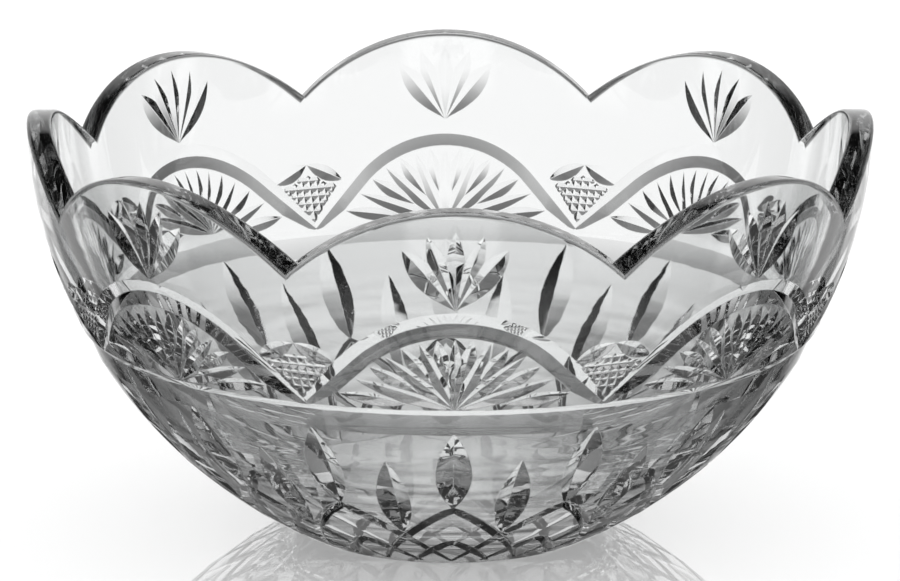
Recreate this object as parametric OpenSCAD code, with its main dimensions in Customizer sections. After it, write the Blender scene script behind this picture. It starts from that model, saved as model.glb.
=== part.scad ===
// Cut crystal trifle bowl: one thick piece of clear glass with a scalloped rim.
// The wall is a round arc turned about the Z axis. The bowl stands on z = 0, and
// one of its panels faces -Y. The pattern is laid out on the unrolled wall: x runs
// round the girth from the middle of a panel, s runs up the wall from the foot.

/* [Bowl] */
// Diameter across the tops of the scallops
rim_d = 250; // [225:1:280]
// Height to the tops of the scallops
height = 125; // [115:1:135]
// Diameter of the flat that the bowl stands on
foot_d = 89; // [80:1:100]
// Radius of the arc that the wall follows from foot to rim
wall_curve = 142.6; // [135:0.1:160]
// Thickness of the wall at the rim
rim_wall = 7.4; // [6:0.1:9]
// Thickness of the wall just above the foot
foot_wall = 10; // [8:0.1:12]
// Thickness of the floor in the middle
floor_t = 13; // [11:0.1:16]
// Radius of the round corner between the inner wall and the floor
corner_r = 16; // [10:0.5:20]

/* [Scalloped rim] */
// Number of panels, each with one scallop
panels = 8; // [7:1:9]
// Drop from the top of a scallop to the notch between two of them
scallop_drop = 20.7; // [15:0.1:24]

/* [Band] */
// Distance up the wall to the middle of the V-cut band
band_up = 89.1; // [86:0.1:92]
// Width of the band
band_w = 9; // [7:0.1:11]
// Distance from the band's top edge down to its valley
band_valley_drop = 2.5; // [1.5:0.1:4.5]
// Depth of the band
band_depth = 0.8; // [0.5:0.1:2]

/* [Arches] */
// Distance up the wall to the bottom of the arch groove at its crown
arch_up = 122.8; // [119:0.1:124]
// Radius of the crown of the arch on the unrolled wall
arch_r = 38.6; // [34:0.1:42]
// Width of the arch groove
arch_w = 7.7; // [6:0.1:8.5]
// Depth of the arch groove
arch_depth = 1.3; // [0.8:0.1:2]

/* [Sprays] */
// Distance up the wall to the point where the leaves of a spray meet
spray_up = 127.4; // [126:0.1:130]
// Length of the leaves of a spray
spray_len = 23.6; // [20:0.1:27]
// Width of the two outer leaves of a spray
spray_w = 7; // [5:0.1:8]
// Width of the three leaves between them
spray_mid_w = 5.4; // [4:0.1:6]
// Depth of the leaves of a spray
spray_depth = 1.5; // [0.8:0.1:2]
// Turn of the outer leaves from upright
spray_turn = 39.5; // [30:0.5:45]

/* [Fans] */
// Number of rays on each side of the middle ray of a fan
fan_side_rays = 7; // [5:1:8]
// Turn of the outermost rays from upright
fan_turn = 81.3; // [75:0.1:83]
// Width of a ray
ray_w = 4.4; // [3:0.1:5]
// Depth of a ray
ray_depth = 1.2; // [0.8:0.1:1.6]
// Land left between the tips of the rays and the arch
ray_land = 0.6; // [0.3:0.1:1.5]

/* [Kites] */
// Distance up the wall to the top of the kite between two arches
kite_up = 114.6; // [112:0.1:117]
// Length of the two leaves that roof the kite
kite_len = 13; // [11:0.1:14]
// Width of the leaves that roof the kite
kite_w = 5; // [4:0.1:6]
// Depth of the leaves that roof the kite
kite_depth = 1.3; // [0.8:0.1:1.8]
// Turn of the leaves that roof the kite from upright
kite_turn = 64; // [58:0.5:70]

/* [Leaves below the band] */
// Length of the long leaves, which hang from the band
leaf_len = 36; // [32:0.1:38]
// Width of the long leaves
leaf_w = 10.4; // [8:0.1:12]
// Depth of the long leaves
leaf_depth = 2.8; // [1.5:0.1:3.2]
// Distance up the wall to the top of the low leaves between the long ones
low_leaf_up = 72.8; // [69:0.1:76]
// Length of the low leaves
low_leaf_len = 40; // [36:0.1:42]
// Width of the low leaves
low_leaf_w = 9.5; // [8:0.1:11]
// Depth of the low leaves
low_leaf_depth = 2.6; // [1.5:0.1:3]

/* [Foot lattice] */
// Distance up the wall to the crowns of the upper row of lattice cuts
lattice_up = 47.8; // [44:0.1:50]
// Distance up the wall to the crowns of the lower row of lattice cuts
low_lattice_up = 25; // [22:0.1:28]
// Distance up the wall to the feet of the lattice cuts
lattice_foot = 4; // [3:0.1:6]
// Width of a lattice cut
lattice_w = 3.6; // [2.5:0.1:4.5]
// Depth of a lattice cut
lattice_depth = 1.3; // [0.8:0.1:2]

/* [Hidden] */

// How far every cutter stands proud of the surface that it cuts
overrun = 0.6;
// Steps along a leaf, a fan ray, an arch's crown, each leg of it, and half a lattice cut
leaf_steps = 4;
ray_steps = 2;
crown_steps = 8;
leg_steps = 2;
lattice_steps = 4;
// Steps of the turned arcs: outer wall, inner wall and inner corner
outer_steps = 12;
inner_steps = 9;
corner_steps = 4;
// Facets of everything round
round_steps = 128;
// Leaves on each side of the middle leaf of a spray
spray_side_leaves = 2;
// Where a short ray starts, as a share of the whole ray
ray_start_share = 0.42;
// Depth left at the feet of an arch and of a lattice cut, as a share of their depth
foot_depth_share = 0.35;
// Bend of the lattice cuts: 1 is straight, 2 is a parabola
lattice_bend = 1.25;

foot_r = foot_d / 2;
rim_r = rim_d / 2;
panel_turn = 360 / panels;

// Centre of the wall's arc as [radius, height], and the slope of its normal at foot and rim
wall_chord = norm([rim_r - foot_r, height]);
wall_bow = sqrt(pow(wall_curve, 2) - pow(wall_chord / 2, 2));
wall_c = [
    (foot_r + rim_r) / 2 - wall_bow * height / wall_chord,
    height / 2 + wall_bow * (rim_r - foot_r) / wall_chord
];
foot_slope = asin(wall_c.y / wall_curve);
rim_slope = asin((wall_c.y - height) / wall_curve);

// The inner wall's arc has its centre higher up, which thickens the wall towards the foot
inner_curve = wall_curve - rim_wall;
inner_c = [wall_c.x, wall_c.y + (foot_wall - rim_wall) / sin(foot_slope)];

// Centre of the round corner that is tangent to the inner wall and to the floor
corner_z = floor_t + corner_r;
corner_slope = asin((inner_c.y - corner_z) / (inner_curve - corner_r));
corner_c = [inner_c.x + (inner_curve - corner_r) * cos(corner_slope), corner_z];

// Scallop arcs are round seen along the panel: their radius follows from drop and notch
notch_r = wall_radius(height - scallop_drop);
notch_x = notch_r * sin(panel_turn / 2);
scallop_r = (pow(notch_x, 2) + pow(scallop_drop, 2)) / (2 * scallop_drop);

// The arch's crown is round on the unrolled wall, and its legs run straight to the band
band_top = band_up + band_w / 2;
arch_c = arch_up - arch_r;
arch_foot = [girth_x(panel_turn / 2, band_top), band_top];
leg_reach = norm([arch_foot.x, arch_foot.y - arch_c]);
crown_turn = atan2(arch_foot.x, arch_foot.y - arch_c) - acos(arch_r / leg_reach);
// Radius of the arch groove's inner edge, and height of the fan's point above its centre
arch_inner_r = arch_r - arch_w / 2 - ray_land;
fan_drop = band_top - arch_c;

// Radius of the outer wall at a height
function wall_radius(z) = wall_c.x + sqrt(pow(wall_curve, 2) - pow(wall_c.y - z, 2));

// Slope of the wall's normal at s
function slope_at(s) = foot_slope - s / wall_curve * 180 / PI;

// Point of the wall's section at s, moved out along the normal
function section_at(s, out) = [
    wall_c.x + (wall_curve + out) * cos(slope_at(s)),
    wall_c.y - (wall_curve + out) * sin(slope_at(s))
];

// Distance round the girth at s that spans an angle about the axis
function girth_x(angle, s) = section_at(s, 0).x * angle * PI / 180;

// Point in space at (x, s) on the unrolled wall, moved out along the normal
function on_wall(x, s, out) =
    let (angle = x / section_at(s, 0).x * 180 / PI, p = section_at(s, out))
    [p.x * sin(angle), -p.x * cos(angle), p.y];

// Points of an arc as [radius, height], from one slope to another
function arc(c, r, slope_a, slope_b, steps) = [
    for (i = [0:steps])
        let (a = slope_a + (slope_b - slope_a) * i / steps)
        [c.x + r * cos(a), c.y - r * sin(a)]
];

// Length of a fan ray from its point to the arch's inner edge, crown or leg
function ray_reach(turn) =
    let (
        crown = sqrt(pow(arch_inner_r, 2) - pow(fan_drop * sin(turn), 2)) - fan_drop * cos(turn),
        leg = (arch_inner_r - fan_drop * cos(crown_turn)) / cos(turn - crown_turn)
    )
    crown * sin(turn) > arch_inner_r * sin(crown_turn) ? leg : crown;

// V-cut along a path of [x, s, depth]: flare is half the width over the depth
module groove(path, flare) {
    last = len(path) - 1;
    points = [
        for (i = [0:last])
            let (
                p = path[i],
                ahead = path[min(i + 1, last)] - path[max(i - 1, 0)],
                along = [ahead.x, ahead.y] / norm([ahead.x, ahead.y]),
                w = flare * (p.z + overrun)
            )
            each [
                on_wall(p.x, p.y, -p.z),
                on_wall(p.x - w * along.y, p.y + w * along.x, overrun),
                on_wall(p.x + w * along.y, p.y - w * along.x, overrun)
            ]
    ];
    sides = [
        for (i = [0:last - 1], k = [0:2])
            let (a = 3 * i + k, b = 3 * i + (k + 1) % 3)
            each [[b, a, a + 3], [b, a + 3, b + 3]]
    ];
    end = 3 * last;
    polyhedron(points, concat([[0, 1, 2], [end, end + 2, end + 1]], sides));
}

// Leaf-shaped V-cut from (x, s), deepest at its middle
module leaf(x, s, turn, length, width, depth, steps = leaf_steps) {
    path = [
        for (i = [0:steps])
            let (t = i / steps)
            [x + length * t * sin(turn), s + length * t * cos(turn), depth * 4 * t * (1 - t)]
    ];
    groove(path, width / 2 / depth);
}

// The turned glass before it is cut
module blank() {
    corner_start = corner_slope + (90 - corner_slope) / corner_steps;
    rotate_extrude($fn = round_steps)
        polygon(concat(
            [[0, 0]],
            arc(wall_c, wall_curve, foot_slope, rim_slope, outer_steps),
            arc(inner_c, inner_curve, asin((inner_c.y - height) / inner_curve), corner_slope, inner_steps),
            arc(corner_c, corner_r, corner_start, 90, corner_steps - 1),
            [[0, floor_t]]
        ));
}

// What is taken off above one scallop
module scallop_waste() {
    far = rim_r + rim_wall;
    half = panel_turn / 2 + overrun / rim_r;
    low = height - scallop_drop - rim_wall;
    difference() {
        translate([0, 0, low])
            linear_extrude(height - low + rim_wall)
                polygon([[0, 0], [-far * tan(half), -far], [far * tan(half), -far]]);
        translate([0, overrun, height - scallop_r])
            rotate([90, 0, 0])
                cylinder(r = scallop_r, h = far + 2 * overrun, $fn = round_steps);
    }
}

// The ring groove that parts the two halves of the pattern
module band_cut() {
    reach = (band_depth + overrun) / band_depth;
    valley = band_top - band_valley_drop;
    rotate_extrude($fn = round_steps)
        polygon([
            section_at(valley, -band_depth),
            section_at(valley - (band_w - band_valley_drop) * reach, overrun),
            section_at(valley + band_valley_drop * reach, overrun)
        ]);
}

// One arch: leg, crown and leg, shallower at its feet
module arch_cut() {
    crown_end = [arch_r * sin(crown_turn), arch_c + arch_r * cos(crown_turn)];
    leg = [
        for (i = [0:leg_steps - 1])
            let (t = i / leg_steps, p = arch_foot + (crown_end - arch_foot) * t)
            [p.x, p.y, arch_depth * (foot_depth_share + (1 - foot_depth_share) * t)]
    ];
    crown = [
        for (i = [0:crown_steps])
            let (a = crown_turn * (2 * i / crown_steps - 1))
            [arch_r * sin(a), arch_c + arch_r * cos(a), arch_depth]
    ];
    path = concat(
        [for (p = leg) [-p.x, p.y, p.z]],
        crown,
        [for (i = [1:leg_steps]) leg[leg_steps - i]]
    );
    groove(path, arch_w / 2 / arch_depth);
}

// Five leaves that rise from the crown of the arch
module spray_cut() {
    for (i = [-spray_side_leaves:spray_side_leaves])
        leaf(
            0, spray_up, spray_turn * i / spray_side_leaves, spray_len,
            abs(i) == spray_side_leaves ? spray_w : spray_mid_w, spray_depth
        );
}

// Rays under the arch, long and short by turns
module fan_cut() {
    for (i = [-fan_side_rays:fan_side_rays]) {
        turn = fan_turn * i / fan_side_rays;
        start = abs(i) % 2 * ray_start_share * ray_reach(turn);
        leaf(
            start * sin(turn), band_top + start * cos(turn), turn,
            ray_reach(turn) - start, ray_w, ray_depth, ray_steps
        );
    }
}

// The two leaves that roof a kite
module kite_cut() {
    for (side = [-1, 1])
        leaf(0, kite_up, side * (180 - kite_turn), kite_len, kite_w, kite_depth, ray_steps);
}

// A lattice cut: a pointed arch whose two legs run down to the foot and get shallower there
module lattice_cut(up) {
    // The share of half a panel that a leg crosses before it meets the foot
    span = pow((up - lattice_foot) / (lattice_up - lattice_foot), 1 / lattice_bend);
    path = [
        for (i = [-lattice_steps:lattice_steps])
            let (
                t = abs(i) / lattice_steps,
                s = up - (lattice_up - lattice_foot) * pow(span * t, lattice_bend),
                fade = foot_depth_share + (1 - foot_depth_share) * min(1, 2 - 2 * t)
            )
            [girth_x(sign(i) * span * t * panel_turn / 2, s), s, lattice_depth * fade]
    ];
    groove(path, lattice_w / 2 / lattice_depth);
}

module bowl() {
    color("aliceblue")
        difference() {
            blank();
            for (i = [0:panels - 1]) rotate(i * panel_turn) scallop_waste();
            band_cut();
            for (i = [0:panels - 1]) rotate(i * panel_turn) arch_cut();
            for (i = [0:panels - 1]) rotate(i * panel_turn) spray_cut();
            for (i = [0:panels - 1]) rotate(i * panel_turn) fan_cut();
            for (i = [0:panels - 1]) rotate((i + 1 / 2) * panel_turn) kite_cut();
            for (i = [0:2 * panels - 1]) rotate(i * panel_turn / 2) {
                leaf(0, band_up - band_w / 2 - leaf_len, 0, leaf_len, leaf_w, leaf_depth);
            }
            for (i = [0:2 * panels - 1]) rotate((i + 1 / 2) * panel_turn / 2) {
                leaf(0, low_leaf_up - low_leaf_len, 0, low_leaf_len, low_leaf_w, low_leaf_depth);
            }
            for (i = [0:2 * panels - 1]) rotate(i * panel_turn / 2) lattice_cut(lattice_up);
            for (i = [0:2 * panels - 1]) rotate(i * panel_turn / 2) lattice_cut(low_lattice_up);
        }
}

bowl();
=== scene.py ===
# Cut crystal trifle bowl on a pale floor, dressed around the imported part.
import math

import bpy
import numpy as np
from mathutils import Matrix, Vector


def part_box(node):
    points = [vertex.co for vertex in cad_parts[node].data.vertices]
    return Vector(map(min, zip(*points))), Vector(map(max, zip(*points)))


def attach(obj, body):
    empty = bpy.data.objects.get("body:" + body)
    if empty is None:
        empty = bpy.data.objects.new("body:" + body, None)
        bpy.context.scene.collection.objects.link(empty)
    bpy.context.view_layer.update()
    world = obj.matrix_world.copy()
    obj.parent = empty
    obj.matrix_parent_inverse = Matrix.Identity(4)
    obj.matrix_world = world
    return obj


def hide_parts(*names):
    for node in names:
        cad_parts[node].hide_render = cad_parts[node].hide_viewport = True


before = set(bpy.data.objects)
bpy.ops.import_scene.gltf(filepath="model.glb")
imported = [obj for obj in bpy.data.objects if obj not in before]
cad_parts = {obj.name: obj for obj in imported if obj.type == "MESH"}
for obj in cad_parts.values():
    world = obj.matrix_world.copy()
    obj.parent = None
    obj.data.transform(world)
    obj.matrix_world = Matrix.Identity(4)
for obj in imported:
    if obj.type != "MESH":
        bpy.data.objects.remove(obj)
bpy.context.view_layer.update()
bowl_top_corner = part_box("bowl")[1]


# The blank
# A trifle bowl starts as one gather of clear lead crystal, pressed to a deep round bowl with
# a thick wall. Its rim is ground to eight scallops and its edges are polished round.
MM = 0.001
RIM_R = bowl_top_corner.x
HEIGHT = bowl_top_corner.z
FOOT_R = 44.5 * MM
FOOT_EDGE = 0.7 * MM
WALL_CURVE = 142.6 * MM
RIM_WALL = 7.4 * MM
FOOT_WALL = 10 * MM
FLOOR = 13 * MM
CORNER_R = 16 * MM
LIP = 1.4 * MM
PANELS = 8
SCALLOP_DROP = 20.7 * MM
COLUMNS = 256
WALL_ROWS, LIP_ROWS, TOP_ROWS, INNER_ROWS, CORNER_ROWS = 32, 6, 3, 28, 9
HALF_PANEL = math.pi / PANELS
SETTLING_STEPS = 12

# Numbers that say which surface of the glass a face belongs to
PLAIN, OUTER, INNER, CORNER, FIRST_CUT = 0, 1, 2, 3, 10

chord = np.array([RIM_R - FOOT_R, HEIGHT])
bow = math.sqrt(WALL_CURVE**2 - chord @ chord / 4)
wall_c = np.array([RIM_R + FOOT_R, HEIGHT]) / 2
wall_c += bow * np.array([-HEIGHT, RIM_R - FOOT_R]) / math.hypot(*chord)
foot_slope = math.asin(wall_c[1] / WALL_CURVE)
inner_curve = WALL_CURVE - RIM_WALL
inner_c = wall_c + [0, (FOOT_WALL - RIM_WALL) / math.sin(foot_slope)]
corner_slope = math.asin((inner_c[1] - FLOOR - CORNER_R) / (inner_curve - CORNER_R))
corner_r = inner_c[0] + (inner_curve - CORNER_R) * math.cos(corner_slope)
corner_c = np.array([corner_r, FLOOR + CORNER_R])


def on_arc(centre, curve, slope):
    """Radius and height on an arc of the section, where its normal points slope below level:
    the centre plus the arc's radius times the slope's cosine outwards and its sine down."""
    return np.array([centre[0] + curve * np.cos(slope), centre[1] - curve * np.sin(slope)])


notch_r = wall_c[0] + math.sqrt(WALL_CURVE**2 - (wall_c[1] - HEIGHT + SCALLOP_DROP) ** 2)
notch_x = notch_r * math.sin(HALF_PANEL)
scallop_r = (notch_x**2 + SCALLOP_DROP**2) / (2 * SCALLOP_DROP)


def rim_height(radius, turn):
    """Height of the ground rim: a wheel of scallop_r lies along the middle of the panel, so
    the height falls from the top by that wheel's sagitta at radius times the sine of turn."""
    return HEIGHT - scallop_r + np.sqrt(scallop_r**2 - (radius * np.sin(turn)) ** 2)


def rim_slope(centre, curve, turn):
    """Slope at which an arc of the section meets the ground rim, found by going from the
    radius to the rim's height there and from that height back to the arc, until it settles."""
    slope = np.zeros_like(turn)
    for _ in range(SETTLING_STEPS):
        radius = on_arc(centre, curve, slope)[0]
        slope = np.arcsin((centre[1] - rim_height(radius, turn)) / curve)
    return slope


def rounded(start, corner, end, steps):
    """Points of an edge that is polished round: a parabola from start to end, pulled to the
    sharp corner by twice t times one minus t. Each point is a radius and a height."""
    t = np.linspace(0, 1, steps + 1)[1:-1, None]
    return [(1 - t) ** 2 * start[k] + 2 * t * (1 - t) * corner[k] + t**2 * end[k] for k in (0, 1)]


def section(around):
    """Rows of radius and height from the middle of the underside, up the outer wall, over the
    rim and down the inner wall to the middle of the floor, at every angle around the axis,
    with the number of the surface that lies above each row."""
    turn = (around + HALF_PANEL) % (2 * HALF_PANEL) - HALF_PANEL
    ones = np.ones_like(around)
    outer_rim = rim_slope(wall_c, WALL_CURVE, turn)
    inner_rim = rim_slope(inner_c, inner_curve, turn)
    outer_top, inner_top = outer_rim + LIP / WALL_CURVE, inner_rim + LIP / inner_curve
    outer_edge = on_arc(wall_c, WALL_CURVE, outer_rim)
    inner_edge = on_arc(inner_c, inner_curve, inner_rim)
    top_r = np.linspace(outer_edge[0] - LIP, inner_edge[0] + LIP, TOP_ROWS + 1)
    top = np.array([top_r, rim_height(top_r, turn)])
    foot_up = foot_slope - FOOT_EDGE / WALL_CURVE
    outer = on_arc(wall_c, WALL_CURVE, np.linspace(foot_up * ones, outer_top, WALL_ROWS + 1))
    inner_slopes = np.linspace(inner_top, corner_slope * ones, INNER_ROWS + 1)
    inner = on_arc(inner_c, inner_curve, inner_slopes)
    corner_slopes = np.linspace(corner_slope, math.pi / 2, CORNER_ROWS)[1:, None]
    corner = on_arc(corner_c, CORNER_R, corner_slopes * ones)
    # The flat floor and the underside have rings at the thirds of their radius
    floor_r = corner_c[0] * np.linspace(2 / 3, 1 / 3, 2)[:, None] * ones
    floor = np.array([floor_r, np.full_like(floor_r, FLOOR)])
    under_r = (FOOT_R - FOOT_EDGE) * np.linspace(1 / 3, 1, 3)[:, None] * ones
    under = np.array([under_r, np.zeros_like(under_r)])
    foot = rounded((FOOT_R - FOOT_EDGE, 0), (FOOT_R, 0), outer[:, 0], LIP_ROWS)
    lip_out = rounded(outer[:, -1], outer_edge, top[:, 0], LIP_ROWS)
    lip_in = rounded(top[:, -1], inner_edge, inner[:, 0], LIP_ROWS)
    bands = [(under, PLAIN), (foot, PLAIN), (outer, OUTER), (lip_out, PLAIN), (top, PLAIN),
             (lip_in, PLAIN), (inner, INNER), (corner, CORNER), (floor, PLAIN)]
    radius, height = [
        np.concatenate([np.broadcast_to(rows[k], (len(rows[k]), len(around))) for rows, _ in bands])
        for k in (0, 1)
    ]
    kinds = np.concatenate([np.full(len(rows[0]), kind) for rows, kind in bands])
    # The quads from the last row of one surface to the first of the next are an edge, except
    # where the inner wall runs on into the corner
    edge = np.where(kinds[1:] == CORNER, CORNER, PLAIN)
    kinds[:-1] = np.where(kinds[:-1] == kinds[1:], kinds[:-1], edge)
    return radius, height, kinds


def turned(radius, height, around):
    """Points of rows that are turned about the axis, from -Y towards +X."""
    points = [radius * np.sin(around), -radius * np.cos(around), height * np.ones_like(around)]
    return np.stack(points, axis=-1).reshape(-1, 3)


def grid(rows, columns, closed=False):
    """Quads between the rows of a grid whose columns run round and meet. If it is closed,
    its rows meet too."""
    row = np.arange(rows if closed else rows - 1)[:, None]
    column = np.arange(columns)
    low, high, after = row * columns, (row + 1) % rows * columns, (column + 1) % columns
    quads = np.stack([low + column, low + after, high + after, high + column], axis=-1)
    return quads.reshape(-1, 4)


def new_object(name, points, faces, kinds):
    """A mesh object with the number of its surface on each face."""
    mesh = bpy.data.meshes.new(name)
    mesh.from_pydata(points.tolist(), [], faces)
    surface = mesh.attributes.new("surface", "INT", "FACE")
    surface.data.foreach_set("value", np.asarray(kinds, dtype=np.int32))
    made = bpy.data.objects.new(name, mesh)
    bpy.context.scene.collection.objects.link(made)
    return made


around = np.arange(COLUMNS) * 2 * math.pi / COLUMNS
radius, height, kinds = section(around)
rows = len(radius)
points = np.concatenate([turned(radius, height, around), [[0, 0, 0], [0, 0, FLOOR]]])
column = np.arange(COLUMNS)
after = (column + 1) % COLUMNS
under_pole, floor_pole = rows * COLUMNS, rows * COLUMNS + 1
last = (rows - 1) * COLUMNS
poles = [np.stack([np.full(COLUMNS, under_pole), after, column], axis=1),
         np.stack([np.full(COLUMNS, floor_pole), last + column, last + after], axis=1)]
faces = grid(rows, COLUMNS).tolist() + np.concatenate(poles).tolist()
face_kinds = np.append(np.repeat(kinds[:-1], COLUMNS), np.full(2 * COLUMNS, PLAIN))
bowl = new_object("crystal_bowl", points, faces, face_kinds)


# The cuts
# Every cut is a mitre cut: a wheel with a V-shaped edge is drawn along the outside of the
# wall. The pattern is laid out on the unrolled wall, with x round the girth from the middle
# of a panel and s up the wall from the foot, and it repeats on every panel.
OVERRUN = 0.6 * MM
BAND_UP, BAND_W = 89.1 * MM, 9 * MM
BAND_VALLEY_DROP, BAND_DEPTH = 2.5 * MM, 0.8 * MM
band_top, band_foot = BAND_UP + BAND_W / 2, BAND_UP - BAND_W / 2
cutters = []


def on_wall(x, s, out):
    """Point of the wall at x round the girth and s up the arc, moved out along the normal:
    the arc gives radius and height, and x over the girth radius gives the angle."""
    slope = foot_slope - s / WALL_CURVE
    angle = x / on_arc(wall_c, WALL_CURVE, slope)[0]
    r, z = on_arc(wall_c, WALL_CURVE + out, slope)
    return np.stack([r * np.sin(angle), -r * np.cos(angle), z], axis=-1)


def girth(angle, s):
    """Length round the girth at s that spans an angle about the axis."""
    return on_arc(wall_c, WALL_CURVE, foot_slope - s / WALL_CURVE)[0] * angle


def groove(x, s, depth, flare):
    """V-cut along a path: at each station the valley lies depth under the wall, and two wings
    stand proud of it, flare times their height over the valley to either side."""
    ahead = np.gradient(np.stack([x, s]), axis=1)
    along = ahead / np.hypot(*ahead)
    reach = flare * (depth + OVERRUN)
    left = on_wall(x - reach * along[1], s + reach * along[0], OVERRUN)
    right = on_wall(x + reach * along[1], s - reach * along[0], OVERRUN)
    return np.stack([on_wall(x, s, -depth), left, right], axis=1).reshape(-1, 3)


def add_cutter(name, points, turns):
    """Copies a groove's points to each turn about the axis and closes them to one cutter,
    whose two flanks get numbers of their own."""
    turning = np.array([Matrix.Rotation(turn, 3, "Z") for turn in turns])
    copies = np.einsum("tij,pj->tpi", turning, points)
    stations = len(points) // 3
    end = len(points) - 3
    sides = grid(stations, 3)
    first = len(points) * np.arange(len(turns))[:, None, None]
    caps = np.array([[0, 2, 1], [end, end + 1, end + 2]])
    faces = (sides + first).reshape(-1, 4).tolist() + (caps + first).reshape(-1, 3).tolist()
    mark = FIRST_CUT * (len(cutters) + 1)
    side_kinds = np.tile(mark + np.arange(3), len(turns) * (stations - 1))
    kinds = np.append(side_kinds, np.full(2 * len(turns), mark))
    cutters.append(new_object(name, copies.reshape(-1, 3), faces, kinds))


def leaf(x, s, turn, length, width, depth, stations, belly=0.5):
    """V-cut shaped like a leaf: its depth follows four u times one minus u, where u is a
    power of the way along it that puts the deepest place at belly."""
    t = np.linspace(0, 1, stations)
    u = t ** (math.log(0.5) / math.log(belly))
    along_x, along_s = x + length * t * math.sin(turn), s + length * t * math.cos(turn)
    return groove(along_x, along_s, depth * 4 * u * (1 - u), width / 2 / depth)


every_panel = np.arange(PANELS) * 2 * HALF_PANEL
every_notch = every_panel + HALF_PANEL
every_leaf = np.arange(2 * PANELS) * HALF_PANEL
between_leaves = every_leaf + HALF_PANEL / 2

# The band is one ring that parts the upper pattern from the lower one: a narrow upper flank
# over a broad lower one
band_reach = (BAND_DEPTH + OVERRUN) / BAND_DEPTH
band_valley = band_top - BAND_VALLEY_DROP
band_low = band_valley - (BAND_W - BAND_VALLEY_DROP) * band_reach
band_s = np.array([band_valley, band_low, band_valley + BAND_VALLEY_DROP * band_reach])
band_out = np.array([-BAND_DEPTH, OVERRUN, OVERRUN])
band_r, band_z = on_arc(wall_c, WALL_CURVE + band_out, foot_slope - band_s / WALL_CURVE)
band_kinds = np.repeat(FIRST_CUT + np.arange(3), COLUMNS)
band_points = turned(band_r[:, None], band_z[:, None], around)
band_faces = grid(3, COLUMNS, closed=True).tolist()
cutters.append(new_object("band_cutter", band_points, band_faces, band_kinds))


# The arches
# A broad shallow groove frames each fan. Its crown is round and its legs run straight down
# to the band, where they meet the next arch.
ARCH_UP, ARCH_R, ARCH_W, ARCH_DEPTH = 122.8 * MM, 38.6 * MM, 7.7 * MM, 1.3 * MM
FOOT_DEPTH_SHARE = 0.35
LEG_STATIONS, CROWN_STATIONS = 8, 33
arch_c = ARCH_UP - ARCH_R
arch_foot = np.array([girth(HALF_PANEL, band_top), band_top])
leg_reach = math.hypot(arch_foot[0], arch_foot[1] - arch_c)
crown_turn = math.atan2(arch_foot[0], arch_foot[1] - arch_c) - math.acos(ARCH_R / leg_reach)
crown_end = np.array([ARCH_R * math.sin(crown_turn), arch_c + ARCH_R * math.cos(crown_turn)])

leg_t = np.linspace(0, 1, LEG_STATIONS + 1)[:-1]
leg = arch_foot[:, None] + (crown_end - arch_foot)[:, None] * leg_t
leg_depth = ARCH_DEPTH * (FOOT_DEPTH_SHARE + (1 - FOOT_DEPTH_SHARE) * np.minimum(1, 2 * leg_t))
crown_a = crown_turn * np.linspace(-1, 1, CROWN_STATIONS)
arch_x = np.concatenate([-leg[0], ARCH_R * np.sin(crown_a), leg[0][::-1]])
arch_s = np.concatenate([leg[1], arch_c + ARCH_R * np.cos(crown_a), leg[1][::-1]])
arch_depth = np.concatenate([leg_depth, np.full(len(crown_a), ARCH_DEPTH), leg_depth[::-1]])
arch_groove = groove(arch_x, arch_s, arch_depth, ARCH_W / 2 / ARCH_DEPTH)
add_cutter("arch_cutter_a", arch_groove, every_panel[::2])
add_cutter("arch_cutter_b", arch_groove, every_panel[1::2])


# The sprays
# Five leaves of one length fan out above the crown of each arch. Each is one touch of the
# wheel, deepest a little past its middle, and the outermost two are the widest.
SPRAY_UP, SPRAY_LEN, SPRAY_TURN, SPRAY_DEPTH = 127.4 * MM, 23.6 * MM, math.radians(39.5), 1.5 * MM
SPRAY_W, SPRAY_MID_W = 7 * MM, 5.4 * MM
SPRAY_SIDE_LEAVES, SPRAY_STATIONS, SPRAY_BELLY = 2, 15, 0.56
for i in range(-SPRAY_SIDE_LEAVES, SPRAY_SIDE_LEAVES + 1):
    width = SPRAY_W if abs(i) == SPRAY_SIDE_LEAVES else SPRAY_MID_W
    spray_leaf = leaf(
        0, SPRAY_UP, SPRAY_TURN * i / SPRAY_SIDE_LEAVES, SPRAY_LEN, width, SPRAY_DEPTH,
        SPRAY_STATIONS, SPRAY_BELLY,
    )
    add_cutter(f"spray_cutter_{i + SPRAY_SIDE_LEAVES}", spray_leaf, every_panel)


# The fans
# Fifteen rays run from one point on the band to the inner edge of the arch, long and short
# by turns.
FAN_SIDE_RAYS, FAN_TURN = 7, math.radians(81.3)
RAY_W, RAY_DEPTH, RAY_LAND, RAY_START_SHARE = 4.4 * MM, 1.2 * MM, 0.6 * MM, 0.42
RAY_STATIONS = 11
arch_inner_r = ARCH_R - ARCH_W / 2 - RAY_LAND
fan_drop = band_top - arch_c


def ray_reach(turn):
    """Length of a ray from the fan's point to the arch's inner edge: to the crown's circle
    by the law of cosines, or past the crown's end to the straight leg."""
    crown = math.sqrt(arch_inner_r**2 - (fan_drop * math.sin(turn)) ** 2)
    crown -= fan_drop * math.cos(turn)
    straight = (arch_inner_r - fan_drop * math.cos(crown_turn)) / math.cos(turn - crown_turn)
    return straight if crown * math.sin(turn) > arch_inner_r * math.sin(crown_turn) else crown


for i in range(-FAN_SIDE_RAYS, FAN_SIDE_RAYS + 1):
    turn = FAN_TURN * i / FAN_SIDE_RAYS
    reach = ray_reach(abs(turn))
    start = abs(i) % 2 * RAY_START_SHARE * reach
    ray_x, ray_s = start * math.sin(turn), band_top + start * math.cos(turn)
    ray = leaf(ray_x, ray_s, turn, reach - start, RAY_W, RAY_DEPTH, RAY_STATIONS)
    add_cutter(f"fan_cutter_{i + FAN_SIDE_RAYS}", ray, every_panel)


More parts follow.
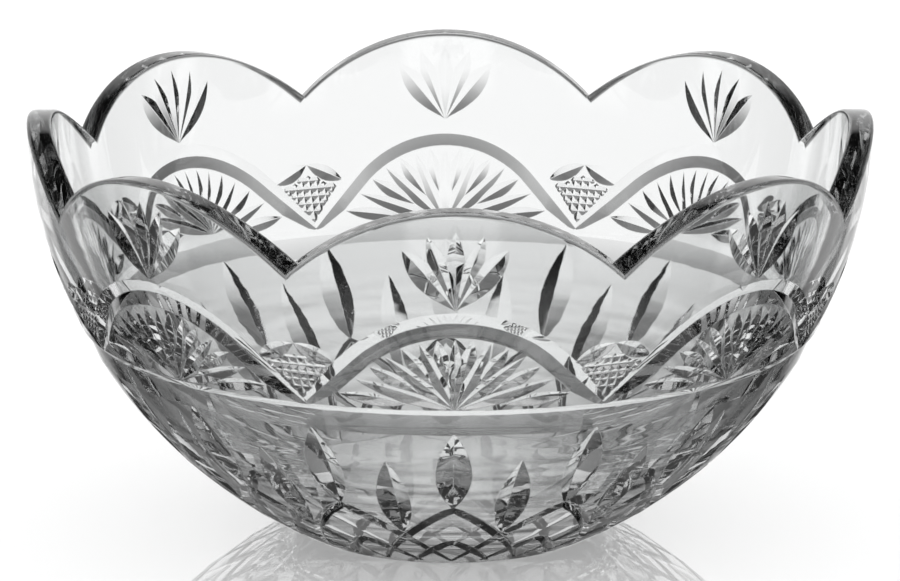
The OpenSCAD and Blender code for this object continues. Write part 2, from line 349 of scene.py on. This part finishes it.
# The kites
# Two short leaves roof a kite between each pair of arches. Inside it, level rows and upright
# columns of fine cuts leave small square pyramids.
KITE_UP, KITE_LEN, KITE_W, KITE_DEPTH = 114.6 * MM, 13 * MM, 5 * MM, 1.3 * MM
KITE_TURN, KITE_STATIONS = math.radians(64), 11
HATCH_PITCH, HATCH_DEPTH, HATCH_RUNOUT = 2.5 * MM, 0.75 * MM, 1 * MM
HATCH_TOP, HATCH_SIDE_UP, HATCH_FOOT, HATCH_HALF = 111.2 * MM, 107 * MM, 95.6 * MM, 9.6 * MM
HATCH_SIDE_COLUMNS = 3
for side in (-1, 1):
    roof_turn = side * (math.pi - KITE_TURN)
    roof = leaf(0, KITE_UP, roof_turn, KITE_LEN, KITE_W, KITE_DEPTH, KITE_STATIONS)
    add_cutter(f"roof_cutter_{side + 1}", roof, every_notch)


def hatch(start, end):
    """One fine cut from start to end, which runs out over a short way at both."""
    length = math.dist(start, end)
    run = np.array([0, HATCH_RUNOUT, length - HATCH_RUNOUT, length]) / length
    x, s = np.array(start)[:, None] + (np.array(end) - start)[:, None] * run
    return groove(x, s, HATCH_DEPTH * np.array([0, 1, 1, 0]), HATCH_PITCH / 2 / HATCH_DEPTH)


hatch_rows = np.arange(HATCH_FOOT + HATCH_PITCH / 2, HATCH_TOP - HATCH_PITCH / 2, HATCH_PITCH)
for k, s in enumerate(hatch_rows):
    half = np.interp(s, [HATCH_FOOT, HATCH_SIDE_UP, HATCH_TOP], [0, HATCH_HALF, 0])
    if half > HATCH_PITCH:
        add_cutter(f"row_cutter_{k}", hatch((-half, s), (half, s)), every_notch)
hatch_columns = np.arange(-HATCH_SIDE_COLUMNS, HATCH_SIDE_COLUMNS + 1) * HATCH_PITCH
for k, x in enumerate(hatch_columns):
    low = HATCH_FOOT + (HATCH_SIDE_UP - HATCH_FOOT) * abs(x) / HATCH_HALF
    high = HATCH_TOP - (HATCH_TOP - HATCH_SIDE_UP) * abs(x) / HATCH_HALF
    add_cutter(f"column_cutter_{k}", hatch((x, low), (x, high)), every_notch)


# The leaves below the band
# Long leaves hang from the band, and lower ones stand between them. They are the deepest
# cuts, touched in with a steep wheel and polished bright.
LEAF_LEN, LEAF_W, LEAF_DEPTH = 36 * MM, 10.4 * MM, 2.8 * MM
LOW_LEAF_UP, LOW_LEAF_LEN, LOW_LEAF_W, LOW_LEAF_DEPTH = 72.8 * MM, 40 * MM, 9.5 * MM, 2.6 * MM
LEAF_STATIONS = 17
long_leaf = leaf(0, band_foot - LEAF_LEN, 0, LEAF_LEN, LEAF_W, LEAF_DEPTH, LEAF_STATIONS)
low_leaf = leaf(
    0, LOW_LEAF_UP - LOW_LEAF_LEN, 0, LOW_LEAF_LEN, LOW_LEAF_W, LOW_LEAF_DEPTH, LEAF_STATIONS
)
add_cutter("leaf_cutter", long_leaf, every_leaf)
add_cutter("low_leaf_cutter", low_leaf, between_leaves)


# The foot lattice
# Two rows of pointed arches cross each other down to the foot. They are narrow cuts that
# leave small diamonds of the wall between them.
LATTICE_UP, LOW_LATTICE_UP, LATTICE_FOOT = 47.8 * MM, 25 * MM, 4 * MM
LATTICE_W, LATTICE_DEPTH, LATTICE_BEND = 3.6 * MM, 1.3 * MM, 1.25
LATTICE_STATIONS = 33
# Arches that cross each other are cut in separate rounds
ROUNDS, LOW_ROUNDS = 4, 2


def lattice(up):
    """A pointed arch: from its crown at up each leg falls with a power of the way round, and
    gets shallower in its lower half."""
    span = ((up - LATTICE_FOOT) / (LATTICE_UP - LATTICE_FOOT)) ** (1 / LATTICE_BEND)
    t = np.linspace(-1, 1, LATTICE_STATIONS)
    s = up - (LATTICE_UP - LATTICE_FOOT) * (span * abs(t)) ** LATTICE_BEND
    full = np.minimum(1, 2 - 2 * abs(t))
    depth = LATTICE_DEPTH * (FOOT_DEPTH_SHARE + (1 - FOOT_DEPTH_SHARE) * full)
    return groove(girth(span * t * HALF_PANEL, s), s, depth, LATTICE_W / 2 / LATTICE_DEPTH)


for k in range(ROUNDS):
    add_cutter(f"lattice_cutter_{k}", lattice(LATTICE_UP), every_leaf[k::ROUNDS])
for k in range(LOW_ROUNDS):
    add_cutter(f"low_lattice_cutter_{k}", lattice(LOW_LATTICE_UP), every_leaf[k::LOW_ROUNDS])


# Cutting and polishing
# The cuts are taken out of the blank one after another. Then each flank keeps its sharp
# edges, and the turned walls get the exact normals of their arcs, as polished glass has.
SHARP_TURN = math.radians(28)
NEXT_TO_AXIS = 1e-9
for cutter in cutters:
    cut = bowl.modifiers.new(cutter.name, "BOOLEAN")
    cut.operation, cut.solver, cut.object = "DIFFERENCE", "MANIFOLD", cutter
evaluated = bowl.evaluated_get(bpy.context.evaluated_depsgraph_get())
cut_mesh = bpy.data.meshes.new_from_object(evaluated)
bowl.modifiers.clear()
bowl.data = cut_mesh
for cutter in cutters:
    bpy.data.objects.remove(cutter)


def read(collection, name, width=1, kind=np.float32):
    """One value per element of a mesh, as an array."""
    values = np.empty(len(collection) * width, dtype=kind)
    collection.foreach_get(name, values)
    return values.reshape(-1, width) if width > 1 else values


surface = read(cut_mesh.attributes["surface"].data, "value", kind=np.int32)
totals = read(cut_mesh.polygons, "loop_total", kind=np.int32)
face_of_loop = np.repeat(np.arange(len(totals)), totals)
loop_edge = read(cut_mesh.loops, "edge_index", kind=np.int32)
loop_vertex = read(cut_mesh.loops, "vertex_index", kind=np.int32)
face_normal = read(cut_mesh.polygon_normals, "vector", 3)
by_edge = np.argsort(loop_edge, kind="stable")
last_of_edge = np.searchsorted(loop_edge[by_edge], np.arange(len(cut_mesh.edges)), side="right") - 1
one, other = face_of_loop[by_edge[last_of_edge]], face_of_loop[by_edge[last_of_edge - 1]]
group = np.where(surface < FIRST_CUT, 0, surface)
bend = (face_normal[one] * face_normal[other]).sum(axis=1)
sharp = (group[one] != group[other]) | (bend < math.cos(SHARP_TURN))
cut_mesh.edges.foreach_set("use_edge_sharp", sharp)
cut_mesh.polygons.foreach_set("use_smooth", np.ones(len(totals), dtype=bool))
cut_mesh.update()

corner_normal = read(cut_mesh.corner_normals, "vector", 3)
x, y, z = read(cut_mesh.vertices, "co", 3)[loop_vertex].T
r = np.maximum(np.hypot(x, y), NEXT_TO_AXIS)
for kind, centre, facing in ((OUTER, wall_c, 1), (INNER, inner_c, -1), (CORNER, corner_c, -1)):
    out_r, out_z = r - centre[0], z - centre[1]
    length = np.hypot(out_r, out_z)
    exact = np.stack([x / r * out_r, y / r * out_r, out_z], axis=1)
    mine = surface[face_of_loop] == kind
    corner_normal[mine] = (facing * exact / length[:, None])[mine]
cut_mesh.normals_split_custom_set(corner_normal)

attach(bowl, "root")
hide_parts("bowl")


# Lead crystal
# Clear glass with a quarter of lead oxide: heavy, colourless and brilliant, because it bends
# light more than plain glass. The cuts' edges are acid-polished a little round, and the
# pressed inside is faintly wavy, most of all low down where the glass set last.
CRYSTAL, CRYSTAL_IOR = "#FDFEFE", 1.545
EDGE_ROUND, EDGE_SAMPLES = 0.4 * MM, 4
# Waves of about 40 mm round the girth and 5 mm up the wall
WAVE_SCALE, WAVE_HEIGHT = (25, 25, 200), 0.4 * MM
WAVY_BELOW, CALM_ABOVE, CALM_SHARE = 42 * MM, 58 * MM, 0.05
# A faint grey builds up in the depth of the glass, about a tenth per centimetre. The real one
# has less, but here it keeps thick edges and light that bounces inside the wall dark enough
DEPTH_TINT, DEPTH_DENSITY = "#F3F3F3", 106


def linear(code):
    """Linear colour of an sRGB hex value: each channel over 12.92 at the dark end, or else
    raised by 0.055, divided by 1.055 and taken to the power of 2.4."""
    channels = [int(code[k : k + 2], 16) / 255 for k in (1, 3, 5)]
    return [c / 12.92 if c <= 0.04045 else ((c + 0.055) / 1.055) ** 2.4 for c in channels] + [1]


def add(tree, kind, settings=None, **inputs):
    """Adds a shader node, with its settings and with the value or link of each input."""
    node = tree.nodes.new(kind)
    for name, value in (settings or {}).items():
        setattr(node, name, value)
    for name, value in inputs.items():
        key = int(name[1:]) if name[1:].isdigit() else name.replace("_", " ")
        socket = node.inputs[key]
        if isinstance(value, bpy.types.NodeSocket):
            tree.links.new(value, socket)
        else:
            socket.default_value = value
    return node


def maths(operation, *values):
    """The result of a Math node in the tree at hand."""
    inputs = {f"_{k}": value for k, value in enumerate(values)}
    return add(tree, "ShaderNodeMath", {"operation": operation}, **inputs).outputs[0]


def rise(value, start, end, low=0, high=1):
    """Smooth step of a value in the tree at hand: low up to start, high from end on, and
    between them the share t of the way turned to 3 t squared minus 2 t cubed."""
    step = {"interpolation_type": "SMOOTHSTEP"}
    node = add(
        tree, "ShaderNodeMapRange", step, Value=value, From_Min=start, From_Max=end,
        To_Min=low, To_Max=high,
    )
    return node.outputs[0]


def material(name):
    """A new material with an empty tree and its output."""
    made = bpy.data.materials.new(name)
    made.use_nodes = True
    made.node_tree.nodes.clear()
    return made, made.node_tree, made.node_tree.nodes.new("ShaderNodeOutputMaterial")


inside = cut_mesh.attributes.new("inside", "FLOAT", "POINT")
on_inside = np.zeros(len(cut_mesh.vertices), dtype=np.float32)
on_inside[loop_vertex[np.isin(surface[face_of_loop], (INNER, CORNER))]] = 1
inside.data.foreach_set("value", on_inside)

crystal, tree, output = material("lead_crystal")
rounded_edge = add(tree, "ShaderNodeBevel", {"samples": EDGE_SAMPLES}, Radius=EDGE_ROUND)
place = add(tree, "ShaderNodeTexCoord").outputs["Object"]
stretched = add(tree, "ShaderNodeMapping", Vector=place, Scale=WAVE_SCALE)
wave = add(tree, "ShaderNodeTexNoise", Vector=stretched.outputs[0], Scale=1.0, Detail=1.0)
up = add(tree, "ShaderNodeSeparateXYZ", _0=place).outputs[2]
inner = add(tree, "ShaderNodeAttribute", {"attribute_name": "inside"}).outputs["Fac"]
wavy = add(
    tree, "ShaderNodeBump", Distance=WAVE_HEIGHT, Height=wave.outputs[0],
    Strength=maths("MULTIPLY", inner, rise(up, WAVY_BELOW, CALM_ABOVE, 1, CALM_SHARE)),
    Normal=rounded_edge.outputs[0],
)
glass = add(
    tree, "ShaderNodeBsdfPrincipled", Base_Color=linear(CRYSTAL), Roughness=0.0,
    IOR=CRYSTAL_IOR, Transmission_Weight=1.0, Normal=wavy.outputs[0],
)
tree.links.new(glass.outputs[0], output.inputs["Surface"])
tint = linear(DEPTH_TINT)
depth = add(tree, "ShaderNodeVolumeAbsorption", Color=tint, Density=DEPTH_DENSITY)
tree.links.new(depth.outputs[0], output.inputs["Volume"])
bowl.data.materials.clear()
bowl.data.materials.append(crystal)


# The floor
# A sheet of pale polished acrylic, which mirrors the bowl's foot faintly and is not part of
# the object. Rays that the glass sends down pass through it to the studio's own floor, which
# the world paints. A little light of its own lets it meet the backdrop without an edge.
FLOOR_SIZE = 30
PALE, POLISH_IOR, PALE_LIFT = "#F4F4F4", 1.5, 0.14
WHITE = "#FFFFFF"
floor_mesh = bpy.data.meshes.new("floor")
square = [(-FLOOR_SIZE, -FLOOR_SIZE, 0), (FLOOR_SIZE, -FLOOR_SIZE, 0), (FLOOR_SIZE, FLOOR_SIZE, 0)]
floor_mesh.from_pydata(square + [(-FLOOR_SIZE, FLOOR_SIZE, 0)], [], [(0, 1, 2, 3)])
floor_sheet = bpy.data.objects.new("floor", floor_mesh)
bpy.context.scene.collection.objects.link(floor_sheet)
sheet, tree, output = material("pale_floor")


def seen_by_glass():
    """1 for a ray that the glass or a polished face sends on, unless it has met a dull face
    before: the larger of the two ray flags, times whether the diffuse depth is under 1."""
    path = add(tree, "ShaderNodeLightPath").outputs
    either = maths("MAXIMUM", path["Is Glossy Ray"], path["Is Transmission Ray"])
    return maths("MULTIPLY", either, maths("LESS_THAN", path["Diffuse Depth"], 1))


polished = add(
    tree, "ShaderNodeBsdfPrincipled", Base_Color=linear(PALE), Roughness=0.0, IOR=POLISH_IOR,
    Coat_Weight=1.0, Coat_IOR=POLISH_IOR, Coat_Roughness=0.0,
)
lift = add(tree, "ShaderNodeEmission", Color=linear(WHITE), Strength=PALE_LIFT)
pale = add(tree, "ShaderNodeAddShader", _0=polished.outputs[0], _1=lift.outputs[0])
open_way = add(tree, "ShaderNodeBsdfTransparent", Color=linear(WHITE))
floor_mix = add(
    tree, "ShaderNodeMixShader", _0=seen_by_glass(), _1=pale.outputs[0], _2=open_way.outputs[0]
)
tree.links.new(floor_mix.outputs[0], output.inputs["Surface"])
floor_mesh.materials.append(sheet)


# Light and backdrop
# A studio for glass: plain white light from all round meets the floor, and the glass sees how
# it is laid out, in bright panels and dark gaps that draw the edges of the cuts. All of it
# follows the azimuth from +Y and the elevation, in degrees.
DARK = 0.01
CEILING, CEILING_FROM, CEILING_TO = 0.03, 20, 35
# The panel behind the bowl, white above and fading to the ground: elevations and brightness
BACK_HALF, SIDE_SOFT = 29, 2
BACK_PANEL = (
    (-90, 0.9), (-75, 0.9), (-60, 0.85), (-45, 0.48), (-30, 0.14), (-26, 0.2), (-22, 0.46),
    (-20, 0.7), (-18, 0.9), (-15, 1.08), (24, 1.08), (34, 0),
)
# Each low panel: the azimuth of its middle, its half width and its lower end
LOW_PANELS = ((45, 6, -28), (90, 9, -30), (135, 9, -30), (180, 13, -30))
LOW_PANEL_TOP, LOW_PANEL_SOFT, LOW_PANEL_GREY = 5, 4, 1.2
GROUND = ((-90, 0.6), (-75, 0.42), (-60, 0.25), (-42, 0.18), (-30, 0))
FRONT_GROUND = ((-90, 0.6), (-75, 0.65), (-60, 0.7), (-42, 0.7), (-32, 0))
# The front half of the studio begins at the first of these azimuths, full from the second
FRONT_FROM, FRONT_TO = 70, 95
ROOM, ROOM_FOOT, ROOM_TOP, ROOM_SOFT = 0.12, -45, -6, 5
# What the floor mirrors of the white room over it
MIRRORED, MIRRORED_FOOT, MIRRORED_TOP, MIRRORED_SOFT = 0.95, -1, 40, 4
FIRST_BOUNCE_DEPTH = 2.5
world = bpy.data.worlds.new("studio")
bpy.context.scene.world = world
world.use_nodes = True
tree = world.node_tree
tree.nodes.clear()


def ramp(value, stops):
    """Straight lines between stops, each a place on the way from -90 to 90 and a brightness."""
    node = add(tree, "ShaderNodeValToRGB", _0=maths("MULTIPLY_ADD", value, 1 / 180, 0.5))
    points = node.color_ramp.elements
    while len(points) < len(stops):
        points.new(0)
    for point, (degrees, grey) in zip(points, stops):
        point.position = degrees / 180 + 0.5
        point.color = (grey, grey, grey, 1)
    return node.outputs[0]


def bounded(value, start, end, soft):
    """1 from start to end and 0 beyond, over a soft edge at both."""
    inner = rise(value, start - soft, start + soft)
    return maths("MULTIPLY", inner, rise(value, end - soft, end + soft, 1, 0))


direction = add(tree, "ShaderNodeTexCoord").outputs["Generated"]
axes = add(tree, "ShaderNodeSeparateXYZ", _0=direction).outputs
azimuth = maths("DEGREES", maths("ABSOLUTE", maths("ARCTAN2", axes[0], axes[1])))
elevation = maths("DEGREES", maths("ARCSINE", axes[2]))

behind = rise(azimuth, BACK_HALF - SIDE_SOFT, BACK_HALF + SIDE_SOFT, 1, 0)
front = rise(azimuth, FRONT_FROM, FRONT_TO)
room = bounded(elevation, ROOM_FOOT, ROOM_TOP, ROOM_SOFT)
lights = [
    maths("MULTIPLY", ramp(elevation, BACK_PANEL), behind),
    ramp(elevation, GROUND),
    maths("MULTIPLY", ramp(elevation, FRONT_GROUND), front),
    maths("MULTIPLY", room, maths("MULTIPLY", front, ROOM)),
    rise(elevation, CEILING_FROM, CEILING_TO, 0, CEILING),
]
for middle, half, low in LOW_PANELS:
    tall = bounded(elevation, low, LOW_PANEL_TOP, LOW_PANEL_SOFT)
    wide = bounded(azimuth, middle - half, middle + half, SIDE_SOFT)
    lights.append(maths("MULTIPLY", maths("MULTIPLY", tall, LOW_PANEL_GREY), wide))
path = add(tree, "ShaderNodeLightPath").outputs
early = maths("LESS_THAN", path["Ray Depth"], FIRST_BOUNCE_DEPTH)
first = maths("MULTIPLY", path["Is Glossy Ray"], early)
over_floor = bounded(elevation, MIRRORED_FOOT, MIRRORED_TOP, MIRRORED_SOFT)
lights.append(maths("MULTIPLY", maths("MULTIPLY", first, over_floor), MIRRORED))
studio = DARK
for light in lights:
    studio = maths("MAXIMUM", studio, light)
seen = add(
    tree, "ShaderNodeMix", {"data_type": "FLOAT"}, _0=seen_by_glass(), _2=1.0, _3=studio
)
backdrop = add(tree, "ShaderNodeBackground", Color=linear(WHITE), Strength=seen.outputs[0])
output = add(tree, "ShaderNodeOutputWorld", Surface=backdrop.outputs[0])


# The camera
# It stands in front of the bowl and a touch to the left, above the rim, with a long lens. Its
# place and its turn about its own axis were fitted to the outline and the scallops.
LENS_PX, FRAME_W, FRAME_H = 5664.8, 900, 581
CAMERA_UP, CAMERA_TURN, CAMERA_ROLL = math.radians(14.332), math.radians(0.75), math.radians(-0.136)
CAMERA_AWAY, AIM_Z = 1687.5 * MM, 71.2 * MM
CENTRE_PX = (449.78, 290.5)
SENSOR_W, CLIP_NEAR, CLIP_FAR = 36, 0.1, 100
camera_data = bpy.data.cameras.new("camera")
camera_data.sensor_width = SENSOR_W
camera_data.lens = LENS_PX / FRAME_W * SENSOR_W
camera_data.shift_x = (FRAME_W / 2 - CENTRE_PX[0]) / FRAME_W
camera_data.shift_y = (CENTRE_PX[1] - FRAME_H / 2) / FRAME_W
camera_data.clip_start, camera_data.clip_end = CLIP_NEAR, CLIP_FAR
camera = bpy.data.objects.new("camera", camera_data)
bpy.context.scene.collection.objects.link(camera)
straight_back = Vector((0, -math.cos(CAMERA_UP), math.sin(CAMERA_UP)))
back = Matrix.Rotation(-CAMERA_TURN, 3, "Z") @ straight_back
camera.location = Vector((0, 0, AIM_Z)) + back * CAMERA_AWAY
camera.rotation_mode = "QUATERNION"
level = (-back).to_track_quat("-Z", "Y")
camera.rotation_quaternion = level @ Matrix.Rotation(-CAMERA_ROLL, 3, "Z").to_quaternion()
bpy.context.scene.camera = camera

bpy.context.scene.view_settings.view_transform = "Standard"
# Light crosses many walls of glass on its way
cycles = bpy.context.scene.cycles
cycles.max_bounces = 32
cycles.transmission_bounces = 24
cycles.glossy_bounces = 16
